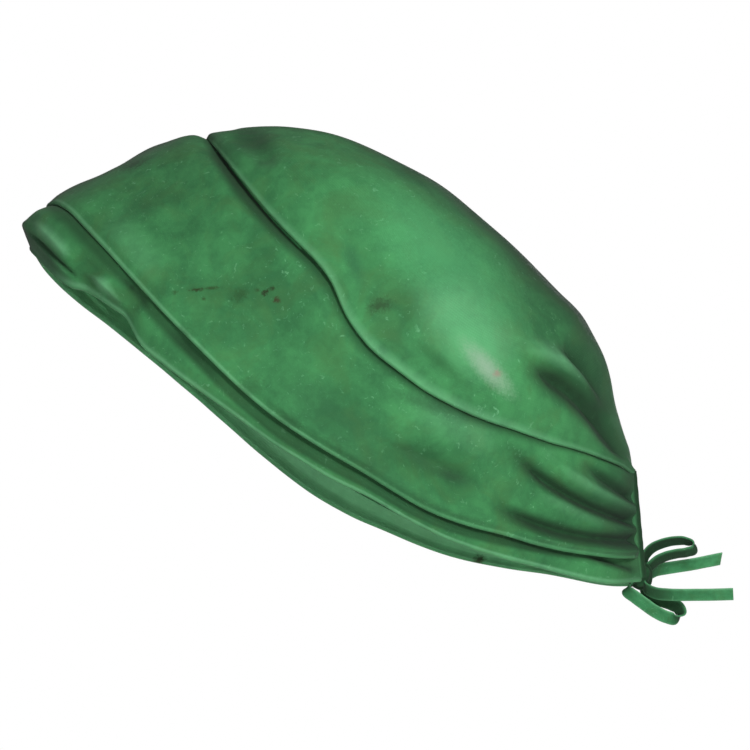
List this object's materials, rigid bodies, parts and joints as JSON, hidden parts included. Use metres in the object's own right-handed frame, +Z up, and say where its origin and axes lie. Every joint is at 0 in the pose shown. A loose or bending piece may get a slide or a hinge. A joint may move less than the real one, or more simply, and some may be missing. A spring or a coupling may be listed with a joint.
{
  "type": "tie-back scrub cap",
  "caption": "Green cotton scrub cap in its worn form: gathered crown, tall side band, folded brow cuff and a bow of narrow ties at the back opening.",
  "frame": {"origin": "where the head carries the cap, on the inside of the crown near its top", "axes": "+Z up as worn, the front (brow) towards -Y, the back opening and bow towards +Y, the wearer's left towards +X"},
  "size_m": [0.1694, 0.2465, 0.173],
  "materials": {
    "crown_cloth": "matt woven cotton",
    "band_cloth": "matt woven cotton",
    "cuff_cloth": "matt woven cotton",
    "casing_cloth": "matt woven cotton",
    "tie_tape": "matt woven cotton"
  },
  "bodies": {
    "root": {"crown": "crown_cloth", "side_band": "band_cloth", "cuff": "cuff_cloth", "back_casing_left": "casing_cloth", "back_casing_right": "casing_cloth", "tie_knot": "tie_tape", "tie_loop_left": "tie_tape", "tie_loop_right": "tie_tape", "tie_tail_left": "tie_tape", "tie_tail_right": "tie_tape"}
  },
  "joints": []
}
